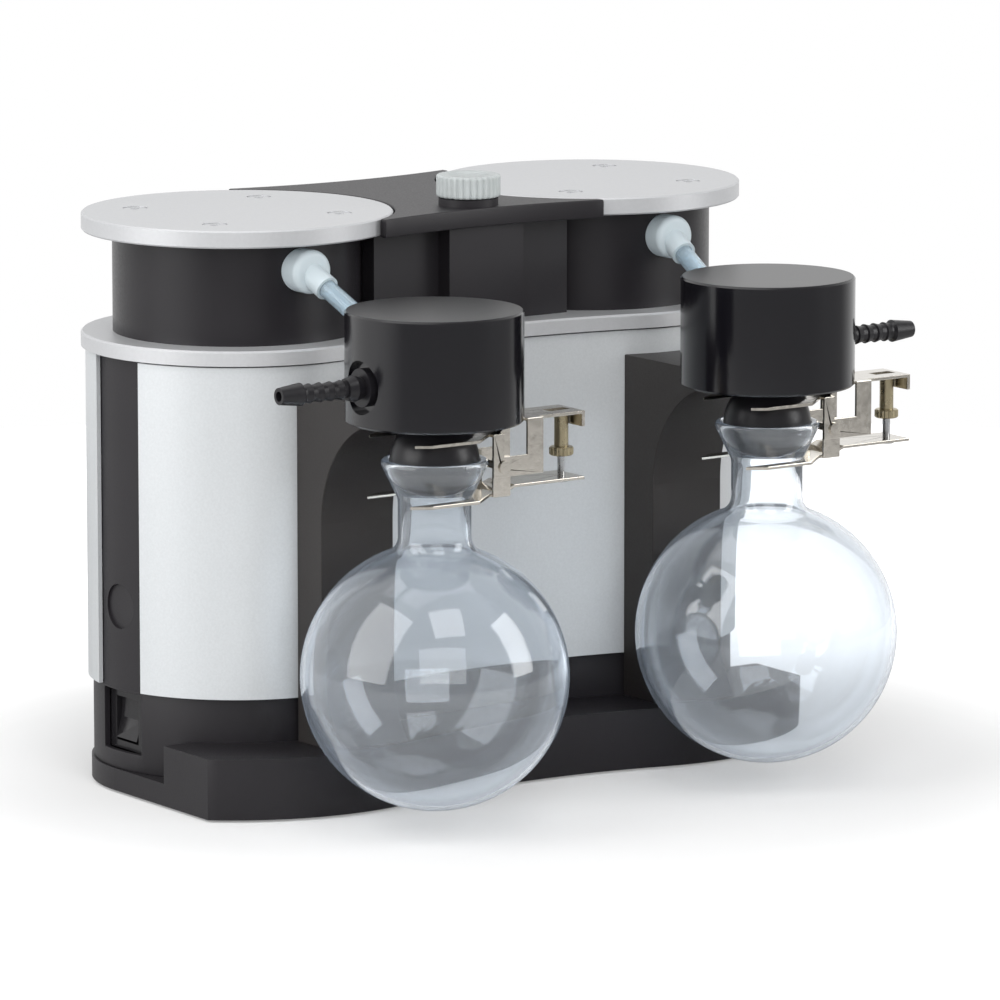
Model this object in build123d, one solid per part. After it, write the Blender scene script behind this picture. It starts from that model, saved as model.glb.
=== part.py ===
from build123d import *
import math
import os

# Two-head diaphragm vacuum pump with two hanging glass separator flasks.
# Millimetres, +Z up, +X to the right, the front faces -Y.
# Everything is drawn about the vertical line through the middle of the pump body,
# and save() moves it so that the origin is the centre of the bottom of the whole part.

# ---- body plan ----
head_half_span = 85.8          # pump head axes lie at x = +/- this
collar_radius = 62.75          # rounded ends of the collar plate
collar_waist = 51.5            # half depth of the collar plate at its middle
panel_inset = 1.75             # silver sheets lie this far inside the collar edge
panel_thickness = 1.8
casing_gap = 0.3               # between a silver sheet and the casing it wraps
casing_wall = 2.5
strip_front = 17.7             # black strip left bare between the sheets at each end: its front edge
strip_rear = 10.5              # and its rear edge, from the head axes
dimple_radius = 9.0            # round hollow in the left strip
dimple_y = -3.0
dimple_height = 76.0
dimple_depth = 1.2

# ---- heights ----
foot_height = 1.0
tray_height = 9.0
housing_height = 33.0
casing_height = 133.5
collar_height = 6.0
panel_top_gap = 0.8
collar_edge = 0.8
head_height = 40.5
cover_height = 7.0
tray_bottom = foot_height
tray_top = tray_bottom + tray_height
housing_top = tray_top + housing_height
casing_top = housing_top + casing_height
collar_top = casing_top + collar_height
head_top = collar_top + head_height
cover_top = head_top + cover_height

# ---- base tray ----
tray_margin = 1.0              # the plinth stands proud of the housing by this much
block_height = 24.3            # raised front block, from the tray's underside
block_waist = 80.0             # half depth of the front block's lobed outline at x = 0
block_back = 37.0              # the raised part starts this far in front of the body's middle
foot_radius = 8.0
foot_x = 96.0
foot_front_y = 74.0
foot_rear_y = 34.0
foot_recess = 1.5

# ---- pump heads ----
head_radius = 50.0
cover_radius = 62.3
cover_edge = 0.6
cover_screw_shank = 1.6        # radius
cover_screw_circle = 41.7
cover_screw_start = 45.0       # degrees from the X axis to the first screw
cover_screw_head = 1.6
cover_screw_sink = 0.4         # screw heads lie this far below the cover's face
cover_screw_pocket = 5.0
cover_screw_count = 4
screw_socket_radius = 2.0
screw_socket_depth = 1.0
valve_plate_radius = 38.0
valve_plate_height = 8.0
valve_pocket_radius = 9.0
valve_pocket_depth = 2.0
valve_flap_radius = 8.0
valve_flap_thickness = 0.8
valve_offset = 14.0
valve_port_radius = 2.5
chamber_height = 9.5
chamber_radius = 30.0
seat_gap = 0.1                 # between pieces that are clamped face to face
over = 1.0                     # cutters reach this far past a face

# ---- centre block, bridge plate and vent valve ----
bridge_gap = 0.7               # all round each cover
bridge_drop = 0.5              # bridge plate hangs this much below the covers' underside
bridge_tip_x = 53.0
bridge_tip_y = 57.5
bridge_middle_y = 51.0
block_side_x = 47.0
block_side_y = 40.0
block_panel_left = 16.0
block_panel_right = 20.0
block_panel_y = 48.0
knob_y = 38.0
knob_radius = 13.0
knob_height = 9.0
knob_edge = 1.0
knob_dish_radius = 8.0
knob_dish_depth = 1.0
knob_flutes = 24
flute_radius = 1.1
seat_radius = 12.0
seat_height = 3.0
stem_radius = 4.0
stem_length = 14.0
stem_end_gap = 1.0
running_gap = 0.05             # radial clearance of a turning fit

# ---- crank drive ----
shaft_height = 105.0
shaft_radius = 5.0
shaft_end_margin = 10.0
shaft_hole_gap = 1.0
throw = 3.0                    # eccentricity, so the diaphragm stroke is twice this
bearing_radius = 13.0
bearing_width = 8.0
crankcase_radius = 46.0
crankcase_wall = 5.0
crankcase_floor = 5.0
boss_wall = 5.0
boss_lip = 3.0                 # stops the bearing at its outer end
flange_radius = 40.0
flange_proud = 1.8             # flange and boss stand out this far towards the motor
flange_depth = 16.0            # how far the flange runs into the round cup
motor_gap = 3.0                # from each winding to the crankcase beside it
stator_radius = 42.0
stator_bore = 23.5
winding_length = 12.0
winding_radius = 36.0
winding_bore = 27.0
air_gap = 0.5
journal_radius = 10.0
journal_width = 10.0
hub_radius = 8.0
weight_radius = 26.0
weight_width = 10.0
weight_from_rod = 9.8          # clear space between counterweight and rod centre plane
rod_bearing_radius = 16.0
rod_bearing_width = 9.0
rod_eye_wall = 5.0
rod_width = 10.0
rod_depth = 12.0
disc_radius = 22.0
rod_disc_height = 4.0
pressure_disc_height = 3.0
pressure_disc_edge = 1.5
clamp_stud_radius = 3.0
clamp_stud_length = 10.0
diaphragm_radius = 44.0
diaphragm_thickness = 2.0
capacitor_radius = 14.0
capacitor_length = 60.0
capacitor_y = 20.0
capacitor_rise = 1.0           # the can lies this far above the tray

# ---- separators ----
separator_inset = 5.5          # separators stand this far inside the head axes
separator_y = 131.5            # distance in front of the body's middle
separator_radius = 34.8
separator_bottom = 162.0
separator_height = 43.6
separator_edge = 0.8
separator_bore = 10.0
separator_bore_height = 33.0
separator_passage = 2.8        # radius of the drilled way from the bore to the hose barb
ball_radius = 17.5
ball_drop = 15.4               # from the separator head down to the ball's centre
ball_stem_wall = 2.0
ball_foot_wall = 2.2           # ring of the ball left round its bore at the bottom
ball_stem_depth = 8.0
joint_gap = 0.3                # glass socket to ball
flask_radius = 52.5
flask_length = 85.6            # from the socket's rim down to the bulb's centre
flask_wall = 1.8
neck_radius = 14.3
socket_rim_wall = 2.95
socket_rim_rise = 0.4          # the rim stands this far above the ball's centre
socket_rim_band = 2.0
socket_cone_height = 15.0
neck_blend = 6.0
flask_clearance = 1.8          # from the glass to the tray's front edge

# ---- brackets ----
bracket_width = 34.0
bracket_front = 77.4
bracket_foot_front = 87.5
bracket_flare_height = 52.0
bracket_arch_radius = 45.0
bracket_shelf = 2.0            # left under the separator head at the arch's top
bracket_rim = 4.0              # the separator head sits this deep in the bracket's top
bracket_gap = 0.2

# ---- hose barbs ----
barb_rise = 16.0               # above the separator head's underside
barb_flange_radius = 7.5
barb_flange_length = 3.0
barb_ball_radius = 5.2
barb_ball_ends = 4.16          # radius at both ends of the ball-shaped grip
barb_ball_length = 7.0
barb_core_radius = 3.3
barb_ring_radius = 3.9
barb_ring_count = 4
barb_ring_pitch = 4.8
barb_ring_start = 1.68         # places along one ring pitch
barb_ring_peak = 2.16
barb_ring_end = 4.56
barb_tip_start = 0.5
barb_tip_peak = 1.5
barb_tip_radius = 4.5
barb_tip_length = 11.1
barb_bore = 2.0
barb_thread_radius = 5.0
barb_thread_length = 9.0
spotface_radius = 10.5
spotface_reach = 31.5

# ---- elbows and tubes ----
elbow_aside = 2.2              # outside the pump head's axis
elbow_drop = 11.0              # below the pump head's top
elbow_radius = 8.75
elbow_length = 9.0
elbow_edge = 2.5
spout_radius = 5.0
spout_length = 13.0
port_aside = 3.7               # outside the separator's axis
port_rise = 34.0               # above the separator head's underside
port_depth = 7.0
tube_radius = 3.75
tube_bore = 2.4
tube_gap = 0.05
tube_in_spout = 5.0
tube_bend_out = 9.0            # from the separator head to the tube's bend
tube_arc_share = 0.45          # of the shorter run, taken up by the bend
spigot_radius = 3.5
spigot_length = 8.0

# ---- fork clamps ----
sheet = 1.3                    # stamped sheet thickness
fork_gap = 0.4                 # round the ball and round the neck
upper_fork_rise = 8.4          # above the ball's centre
lower_fork_drop = 0.8          # below the socket's cone
prong_width = 3.75
prong_bevel = 5.0
prong_bevel_length = 8.0
fork_tip = 22.0
fork_shoulder = 8.0            # the fork keeps its width this far past the joint's axis
pin_radius = 1.6
pin_head_radius = 2.56
pin_head_length = 0.8
handle_half_width = 9.0
ear_gap = 0.4
ear_half_height = 4.0          # sheet round the hinge pin
ear_half_width = 4.0
upper_ear_width = 5.0
hinge_clearance = 3.9          # from the socket's rim out to the hinge pin
web_run = 7.0                  # sloped stretch between fork and handle
web_root = 2.0
stud_reach = 35.35             # from hinge to stud
handle_beyond = 5.0            # from stud to the handle's end
upper_handle_rise = 5.0        # above the upper fork
lower_handle_rise = 2.8        # above the lower fork
curl_drop = 5.0
strip_offset = 4.0             # from the handle's start to the second pair of ears
strip_width = 7.5
slot_length = 10.0
slot_gap = 1.0
stud_radius = 1.5
stud_head_radius = 3.0
stud_head_height = 1.5
stud_recess = 2.0              # the stud's tip lies this far below the upper handle
nut_radius = 4.8
nut_height = 3.4
nut_drop = 17.0                # from the upper handle down to the nut's underside
nut_collar_radius = 2.8
nut_edge = 0.5
nut_flutes = 18
nut_flute_radius = 0.6
nut_flute_out = 0.3

# ---- switch and inlet ----
switch_width = 25.0
switch_tall = 24.4
switch_y = -3.0
switch_rise = 19.5             # above the tray
switch_recess = 1.6
switch_depth = 22.0
rocker_width = 15.0
rocker_length = 17.0
rocker_thickness = 7.0
rocker_edge_length = 1.5
rocker_edge_depth = 2.0
rocker_dish = 0.93
rocker_sink = 0.8              # the rocker lies this far inside the frame
rocker_tilt = 10.0
rocker_pivot_radius = 1.2
rocker_pivot_length = 1.5
window_gap = 0.5
window_floor = 2.0             # room behind the rocker
inlet_width = 27.0
inlet_tall = 19.5
inlet_depth = 24.0
inlet_rise = 16.5              # above the tray
inlet_cavity_width = 22.5
inlet_cavity_tall = 15.0
inlet_cavity_depth = 16.0
inlet_pin_length = 12.0
inlet_pin_width = 4.0
inlet_pin_thick = 2.0
inlet_pin_spacing = 7.0
inlet_pin_stagger = 2.0        # earth pin up, the other two down

# ---- worked out from the sizes above ----
casing_inset = panel_inset + panel_thickness + casing_gap
casing_radius = collar_radius - casing_inset
casing_waist = collar_waist - casing_inset
housing_end = head_half_span + casing_radius
tray_end = housing_end + tray_margin
block_top = tray_bottom + block_height
ball_height = separator_bottom - ball_drop
ball_stem_radius = separator_bore + ball_stem_wall
ball_cut_radius = separator_bore + ball_foot_wall
socket_rim_height = ball_height + socket_rim_rise
socket_rim_radius = ball_radius + joint_gap + socket_rim_wall
socket_cone_bottom = socket_rim_height - socket_cone_height
flask_centre = socket_rim_height - flask_length
bulb_at_block = math.sqrt(flask_radius**2 - (flask_centre - block_top)**2)
block_radius = separator_y - bulb_at_block - flask_clearance
separator_x = head_half_span - separator_inset
depth_shift = (separator_y + flask_radius - collar_radius) / 2
diaphragm_seat = collar_top
crankcase_face = head_half_span - crankcase_radius
stator_length = 2 * (crankcase_face - flange_proud - motor_gap - winding_length)
barb_height = separator_bottom + barb_rise
port_height = separator_bottom + port_rise
port_x = separator_x + port_aside
elbow_x = head_half_span + elbow_aside
elbow_height = head_top - elbow_drop
upper_fork_height = ball_height + upper_fork_rise
lower_fork_height = socket_cone_bottom - lower_fork_drop
upper_opening = math.sqrt(ball_radius**2 - upper_fork_rise**2) + fork_gap
lower_opening = neck_radius + fork_gap
fork_half_width = upper_opening + prong_width
hinge_x = socket_rim_radius + hinge_clearance
hinge_height = (upper_fork_height + lower_fork_height) / 2
handle_start = hinge_x + web_run
strip_start = handle_start + strip_offset
strip_end = strip_start + strip_width
stud_x = hinge_x + stud_reach
handle_end = stud_x + handle_beyond
upper_handle_height = upper_fork_height + upper_handle_rise
lower_handle_height = lower_fork_height + lower_handle_rise
stud_top = upper_handle_height - stud_recess
nut_bottom = upper_handle_height - nut_drop
switch_height = tray_top + switch_rise
inlet_height = tray_top + inlet_rise
LEFT = -1
RIGHT = 1


def save(shape, name):
    """Move a finished piece to the part's origin and write it."""
    placed = Pos(0, depth_shift, 0) * shape
    placed.label = name
    export_step(placed, f"parts/{name}.step")


def group(solids):
    """Several separate solids that share one node."""
    return Compound(list(solids))


def waisted_face(radius, waist):
    """Two round ends joined by hollow arcs that touch them, as seen from above."""
    hollow = (head_half_span**2 + waist**2 - radius**2) / (2 * (radius - waist))
    share = radius / (radius + hollow)
    touch_x = head_half_span * (1 - share)
    touch_y = (hollow + waist) * share
    end_x = head_half_span + radius
    edges = [
        ThreePointArc((-touch_x, -touch_y), (0, -waist), (touch_x, -touch_y)),
        ThreePointArc((touch_x, -touch_y), (end_x, 0), (touch_x, touch_y)),
        ThreePointArc((touch_x, touch_y), (0, waist), (-touch_x, touch_y)),
        ThreePointArc((-touch_x, touch_y), (-end_x, 0), (-touch_x, -touch_y)),
    ]
    return Face(Wire(edges))


def waisted(inset, bottom, top):
    """Solid of the body's plan, drawn in by inset from the collar's edge."""
    face = waisted_face(collar_radius - inset, collar_waist - inset)
    return Pos(0, 0, bottom) * extrude(face, top - bottom)


def upright(x, y, radius, bottom, top):
    """Vertical cylinder."""
    return Pos(x, y, (bottom + top) / 2) * Cylinder(radius, top - bottom)


def along_x(start, end, y, z, radius):
    """Cylinder along X between two places."""
    return Pos((start + end) / 2, y, z) * Rot(0, 90, 0) * Cylinder(radius, abs(end - start))


def along_y(x, start, end, z, radius):
    """Cylinder along Y between two places."""
    return Pos(x, (start + end) / 2, z) * Rot(90, 0, 0) * Cylinder(radius, abs(end - start))


def block(x_low, x_high, y_low, y_high, z_low, z_high):
    """Box between two corners."""
    middle = Pos((x_low + x_high) / 2, (y_low + y_high) / 2, (z_low + z_high) / 2)
    return middle * Box(x_high - x_low, y_high - y_low, z_high - z_low)


def turned(points):
    """Solid of revolution about Z from (radius, height) points."""
    face = make_face(Polyline(*[(r, 0, z) for r, z in points], close=True))
    return revolve(face, Axis.Z)


def flutes(x, y, radius, count, size, bottom, top):
    """Round grooves down the side of a knurled piece."""
    cuts = []
    for index in range(count):
        angle = 2 * math.pi * index / count
        groove = upright(x + radius * math.cos(angle), y + radius * math.sin(angle), size, bottom, top)
        cuts.append(groove)
    return cuts


# ---- base and casing ----

def base_tray():
    """Flat plinth under the body, with a raised block in front that has a lobe behind each bulb."""
    plinth = waisted(casing_inset - tray_margin, tray_bottom, tray_top)
    lobes = Pos(0, 0, tray_bottom) * extrude(waisted_face(block_radius, block_waist), block_height)
    plinth += lobes & block(-tray_end, tray_end, -block_radius, 0, tray_bottom, tray_top)
    raised = lobes & block(-tray_end, tray_end, -block_radius, -block_back, tray_bottom, block_top)
    body_room = waisted(casing_inset - bracket_gap, tray_top, block_top + over)
    tray = plinth + (raised - body_room)
    for x in (-foot_x, foot_x):
        for y in (-foot_front_y, foot_rear_y):
            tray -= upright(x, y, foot_radius + seat_gap, tray_bottom - over, tray_bottom + foot_recess)
    return tray


def rubber_feet():
    """Four round feet let into the underside of the tray."""
    feet = []
    for x in (-foot_x, foot_x):
        for y in (-foot_front_y, foot_rear_y):
            foot = upright(x, y, foot_radius, 0, tray_bottom + foot_recess)
            rim = foot.edges().filter_by(GeomType.CIRCLE).sort_by(Axis.Z)[0]
            feet.append(fillet(rim, foot_height / 3))
    return group(feet)


def lower_housing():
    """Black band with the mains switch at the left end and the inlet at the right end."""
    outer = waisted(casing_inset, tray_top, housing_top)
    inner = waisted(casing_inset + casing_wall, tray_top - over, housing_top + over)
    housing = outer - inner
    half_wide = switch_width / 2 + seat_gap
    half_tall = switch_tall / 2 + seat_gap
    housing -= block(-housing_end - over, -housing_end + 3 * casing_wall, switch_y - half_wide,
                     switch_y + half_wide, switch_height - half_tall, switch_height + half_tall)
    half_wide = inlet_width / 2 + seat_gap
    half_tall = inlet_tall / 2 + seat_gap
    housing -= block(housing_end - 3 * casing_wall, housing_end + over, -half_wide, half_wide,
                     inlet_height - half_tall, inlet_height + half_tall)
    return housing


def casing():
    """Black inner case that carries the silver sheets and shows at both ends."""
    shell = waisted(casing_inset, housing_top, casing_top)
    shell -= waisted(casing_inset + casing_wall, housing_top - over, casing_top + over)
    edge = -head_half_span - casing_radius
    shell -= along_x(edge - over, edge + dimple_depth, dimple_y, dimple_height, dimple_radius)
    return shell


def side_panel(front):
    """Silver sheet wrapped round the front or rear of the casing."""
    sheet_top = casing_top - panel_top_gap
    panel = waisted(panel_inset, housing_top, sheet_top)
    panel -= waisted(panel_inset + panel_thickness, housing_top - over, sheet_top + over)
    reach = head_half_span + collar_radius
    depth = collar_radius
    if front:
        keep = block(-reach, reach, -depth, -strip_front, housing_top, sheet_top)
    else:
        keep = block(-reach, reach, strip_rear, depth, housing_top, sheet_top)
    return panel & keep


def collar_plate():
    """Silver plate that closes the casing and carries both pump heads."""
    plate = waisted(0, casing_top, collar_top)
    plate = chamfer(plate.edges().group_by(Axis.Z)[-1], collar_edge)
    for side in (LEFT, RIGHT):
        plate -= upright(side * head_half_span, 0, chamber_radius, casing_top - over, collar_top + over)
    return plate


# ---- pump heads ----

def head_body(side):
    """Black head with the pumping chamber below and the valve plate's seat on top."""
    x = side * head_half_span
    body = upright(x, 0, head_radius, collar_top, head_top)
    chamber_bottom = collar_top + diaphragm_thickness
    chamber_top = chamber_bottom + chamber_height
    body -= upright(x, 0, diaphragm_radius + seat_gap, collar_top - over, chamber_bottom)
    body -= upright(x, 0, chamber_radius, collar_top, chamber_top)
    plate_seat = head_top - valve_plate_height
    body -= upright(x, 0, valve_plate_radius + seat_gap, plate_seat, head_top + over)
    for offset in (-valve_offset, valve_offset):
        body -= upright(x + offset, 0, valve_port_radius, chamber_top - over, plate_seat + over)
    body -= along_y(side * elbow_x, -head_radius - over, -head_radius + spigot_length + over, elbow_height,
                    spigot_radius + seat_gap)
    return body


def valve_plates():
    """Plate in the top of each head with a pocket over each valve port."""
    plates = []
    bottom = head_top - valve_plate_height
    for side in (LEFT, RIGHT):
        x = side * head_half_span
        plate = upright(x, 0, valve_plate_radius, bottom, head_top - seat_gap)
        for offset in (-valve_offset, valve_offset):
            plate -= upright(x + offset, 0, valve_pocket_radius, bottom - over, bottom + valve_pocket_depth)
        plates.append(plate)
    return group(plates)


def valve_flaps():
    """Two thin round flap valves in each head."""
    bottom = head_top - valve_plate_height + seat_gap
    flaps = []
    for side in (LEFT, RIGHT):
        for offset in (-valve_offset, valve_offset):
            x = side * head_half_span + offset
            flaps.append(upright(x, 0, valve_flap_radius, bottom, bottom + valve_flap_thickness))
    return group(flaps)


def screw_places(side):
    """Centres of the screws in one head cover."""
    places = []
    for index in range(cover_screw_count):
        angle = math.radians(cover_screw_start + 360 * index / cover_screw_count)
        x = side * head_half_span + cover_screw_circle * math.cos(angle)
        places.append((x, cover_screw_circle * math.sin(angle)))
    return places


def head_cover(side):
    """Silver disc on top of a pump head, with its screws let in."""
    x = side * head_half_span
    cover = upright(x, 0, cover_radius, head_top, cover_top)
    cover = chamfer(cover.edges().filter_by(GeomType.CIRCLE), cover_edge)
    pocket = cover_top - cover_screw_head - cover_screw_sink
    for place in screw_places(side):
        cover -= upright(*place, cover_screw_pocket, pocket, cover_top + over)
        cover -= upright(*place, cover_screw_shank + seat_gap, head_top - over, pocket + over)
    return cover


def head_cover_screws():
    """Socket screws that hold both covers down."""
    screws = []
    top = cover_top - cover_screw_sink
    pocket = top - cover_screw_head
    for side in (LEFT, RIGHT):
        for place in screw_places(side):
            head = upright(*place, cover_screw_pocket - joint_gap, pocket, top)
            socket = Pos(*place, top) * extrude(RegularPolygon(screw_socket_radius, 6), -screw_socket_depth)
            shank = upright(*place, cover_screw_shank, head_top, pocket)
            screws.append(head - socket + shank)
    return group(screws)


def centre_block():
    """Black block between the heads, with a middle panel that stands forward."""
    bottom = collar_top
    top = head_top - bridge_drop
    body = block(-block_side_x, block_side_x, -block_side_y, block_side_y, bottom, top)
    body += block(-block_panel_left, block_panel_right, -block_panel_y, block_panel_y, bottom, top)
    for side in (LEFT, RIGHT):
        body -= upright(side * head_half_span, 0, head_radius + seat_gap, bottom - over, top + over)
    return body - upright(0, -knob_y, stem_radius + running_gap, top - stem_length, top + over)


def bridge_plate():
    """Black waisted plate that fills the space between the two covers."""
    corner = (bridge_tip_x, bridge_tip_y)
    edges = [
        ThreePointArc((-corner[0], -corner[1]), (0, -bridge_middle_y), (corner[0], -corner[1])),
        Line((corner[0], -corner[1]), corner),
        ThreePointArc(corner, (0, bridge_middle_y), (-corner[0], corner[1])),
        Line((-corner[0], corner[1]), (-corner[0], -corner[1])),
    ]
    bottom = head_top - bridge_drop
    plate = Pos(0, 0, bottom) * extrude(Face(Wire(edges)), cover_top - bottom)
    for side in (LEFT, RIGHT):
        plate -= upright(side * head_half_span, 0, cover_radius + bridge_gap, bottom - over,
                         cover_top + over)
    return plate - upright(0, -knob_y, stem_radius + running_gap, bottom - over, cover_top + over)


def vent_valve_seat():
    """Black ring under the vent knob."""
    top = cover_top + seat_height
    ring = upright(0, -knob_y, seat_radius, cover_top, top)
    return ring - upright(0, -knob_y, stem_radius + running_gap, cover_top - over, top + over)


def vent_knob():
    """Knurled knob with the stem that goes down into the centre block."""
    bottom = cover_top + seat_height + joint_gap
    top = bottom + knob_height
    knob = upright(0, -knob_y, knob_radius, bottom, top)
    knob = chamfer(knob.edges().filter_by(GeomType.CIRCLE), knob_edge)
    knob -= flutes(0, -knob_y, knob_radius + flute_radius / 3, knob_flutes, flute_radius,
                   bottom - over, top + over)
    knob -= upright(0, -knob_y, knob_dish_radius, top - knob_dish_depth, top + over)
    stem_bottom = head_top - bridge_drop - stem_length + stem_end_gap
    return knob + upright(0, -knob_y, stem_radius, stem_bottom, bottom + over)


# ---- crank drive ----

def crankcase(side):
    """Upright cup that carries the shaft bearing, open to the diaphragm above."""
    x = side * head_half_span
    start = crankcase_face - flange_proud
    boss_end = crankcase_face + bearing_width + boss_wall
    bottom = shaft_height - weight_radius - crankcase_wall - crankcase_floor
    cup = upright(x, 0, crankcase_radius, bottom, casing_top)
    cup += along_x(side * start, side * (crankcase_face + flange_depth), 0, shaft_height, flange_radius)
    cup -= upright(x, 0, crankcase_radius - crankcase_wall, bottom + crankcase_floor, casing_top + over)
    cup += along_x(side * start, side * boss_end, 0, shaft_height, bearing_radius + boss_wall)
    cup -= along_x(side * (start - over), side * (boss_end - boss_lip), 0, shaft_height,
                   bearing_radius + running_gap)
    return cup - along_x(side * crankcase_face, side * (boss_end + over), 0, shaft_height,
                         shaft_radius + shaft_hole_gap)


def bearing_start():
    """Distance from the middle to the inner end of a shaft bearing."""
    return crankcase_face + boss_wall - boss_lip


def shaft_bearings():
    """Ball bearings drawn as plain rings, one in each crankcase."""
    rings = []
    for side in (LEFT, RIGHT):
        start = side * bearing_start()
        end = start + side * bearing_width
        ring = along_x(start, end, 0, shaft_height, bearing_radius)
        rings.append(ring - along_x(start - side * over, end + side * over, 0, shaft_height,
                                    shaft_radius + running_gap))
    return group(rings)


def motor_stator():
    """Laminated ring held between the two crankcases."""
    half = stator_length / 2
    ring = along_x(-half, half, 0, shaft_height, stator_radius)
    return ring - along_x(-half - over, half + over, 0, shaft_height, stator_bore)


def motor_windings():
    """Copper coil ends on both sides of the stator."""
    coils = []
    for side in (LEFT, RIGHT):
        start = side * stator_length / 2
        end = start + side * winding_length
        coil = along_x(start, end, 0, shaft_height, winding_radius)
        coils.append(coil - along_x(start - side * over, end + side * over, 0, shaft_height, winding_bore))
    return group(coils)


def motor_shaft():
    """One straight shaft through both crankcases."""
    end = head_half_span + shaft_end_margin
    return along_x(-end, end, 0, shaft_height, shaft_radius)


def rotor_core():
    """Iron core on the shaft inside the stator."""
    half = stator_length / 2
    core = along_x(-half, half, 0, shaft_height, stator_bore - air_gap)
    return core - along_x(-half - over, half + over, 0, shaft_height, shaft_radius + running_gap)


def eccentrics():
    """Crank journals with counterweights: the left one starts at the top, the right one at the bottom."""
    pieces = []
    for side in (LEFT, RIGHT):
        x = side * head_half_span
        lift = -side * throw
        near = x - side * journal_width / 2
        far = x + side * journal_width / 2
        weight_far = x - side * weight_from_rod
        weight_near = weight_far - side * weight_width
        piece = along_x(near, far, 0, shaft_height + lift, journal_radius)
        piece += along_x(weight_near, near, 0, shaft_height, hub_radius)
        weight = along_x(weight_near, weight_far, 0, shaft_height, weight_radius)
        low = min(weight_near, weight_far)
        high = max(weight_near, weight_far)
        base = shaft_height - weight_radius if lift > 0 else shaft_height
        piece += weight & block(low, high, -weight_radius, weight_radius, base, base + weight_radius)
        piece -= along_x(weight_near - side * over, far + side * over, 0, shaft_height,
                         shaft_radius + running_gap)
        pieces.append(piece)
    return group(pieces)


def rod_bearing(side):
    """Ring between the crank journal and the rod's eye."""
    x = side * head_half_span
    z = shaft_height - side * throw
    half = rod_bearing_width / 2
    ring = along_x(x - half, x + half, 0, z, rod_bearing_radius)
    return ring - along_x(x - half - over, x + half + over, 0, z, journal_radius + running_gap)


def connecting_rod(side):
    """Rod with a round eye below and a support disc under the diaphragm."""
    x = side * head_half_span
    lift = -side * throw
    z = shaft_height + lift
    half = rod_width / 2
    eye_radius = rod_bearing_radius + rod_eye_wall
    top = diaphragm_seat + lift - seat_gap
    rod = along_x(x - half, x + half, 0, z, eye_radius)
    rod += block(x - half, x + half, -rod_depth / 2, rod_depth / 2, z + rod_bearing_radius, top - over)
    rod += upright(x, 0, disc_radius, top - rod_disc_height, top)
    rod -= along_x(x - half - over, x + half + over, 0, z, rod_bearing_radius + running_gap)
    return rod - upright(x, 0, clamp_stud_radius + seat_gap, top - clamp_stud_length, top + over)


def pressure_disc(side):
    """Disc and stud that clamp the diaphragm's middle to the rod."""
    x = side * head_half_span
    bottom = diaphragm_seat - side * throw + diaphragm_thickness + seat_gap
    disc = upright(x, 0, disc_radius, bottom, bottom + pressure_disc_height)
    disc = fillet(disc.edges().filter_by(GeomType.CIRCLE).sort_by(Axis.Z)[-1], pressure_disc_edge)
    stud_bottom = bottom - diaphragm_thickness - clamp_stud_length + stem_end_gap
    return disc + upright(x, 0, clamp_stud_radius, stud_bottom, bottom + over)


def diaphragm(side):
    """Rubber disc clamped at its rim, its middle lifted or lowered by the crank throw."""
    lift = -side * throw
    low = diaphragm_seat
    high = low + diaphragm_thickness
    hole = clamp_stud_radius + 2 * seat_gap
    points = [
        (hole, low + lift), (disc_radius, low + lift), (chamber_radius, low), (diaphragm_radius, low),
        (diaphragm_radius, high), (chamber_radius, high), (disc_radius, high + lift), (hole, high + lift),
    ]
    return Pos(side * head_half_span, 0, 0) * turned(points)


def run_capacitor():
    """Motor capacitor lying in the lower housing."""
    z = tray_top + capacitor_radius + capacitor_rise
    can = along_x(-capacitor_length / 2, capacitor_length / 2, capacitor_y, z, capacitor_radius)
    saddle = block(-capacitor_length / 4, capacitor_length / 4, capacitor_y - capacitor_radius / 2,
                   capacitor_y + capacitor_radius / 2, tray_top, z)
    return can + saddle


# ---- separators ----

def bracket(side):
    """Black arched arm that carries one separator head, flared where it stands on the tray."""
    arch_top = separator_bottom - bracket_shelf
    arch_start = arch_top - bracket_arch_radius
    top = separator_bottom + bracket_rim
    centre = bracket_front + bracket_arch_radius
    diagonal = bracket_arch_radius * math.sqrt(0.5)
    arch_middle = (-(centre - diagonal), arch_start + diagonal)
    drop = bracket_flare_height - block_top
    flare = bracket_foot_front - bracket_front
    flare_radius = (drop**2 + flare**2) / (2 * flare)
    half_drop = bracket_flare_height - drop / 2
    flare_middle = -(bracket_front + flare_radius - math.sqrt(flare_radius**2 - (drop / 2)**2))
    back = -casing_waist
    outline = [
        Line((back, block_top), (-bracket_foot_front, block_top)),
        ThreePointArc((-bracket_foot_front, block_top), (flare_middle, half_drop),
                      (-bracket_front, bracket_flare_height)),
        Line((-bracket_front, bracket_flare_height), (-bracket_front, arch_start)),
        ThreePointArc((-bracket_front, arch_start), arch_middle, (-centre, arch_top)),
        Line((-centre, arch_top), (-centre, top)),
        Line((-centre, top), (back, top)),
        Line((back, top), (back, block_top)),
    ]
    face = Plane.YZ * Face(Wire(outline))
    x = side * separator_x
    arm = Pos(x, 0, 0) * extrude(face, bracket_width / 2, both=True)
    arm -= waisted(panel_inset - bracket_gap, block_top - over, top + over)
    arm -= upright(x, -separator_y, ball_stem_radius + bracket_gap, arch_top - over, top + over)
    return arm - upright(x, -separator_y, separator_radius + seat_gap, separator_bottom, top + over)


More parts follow.
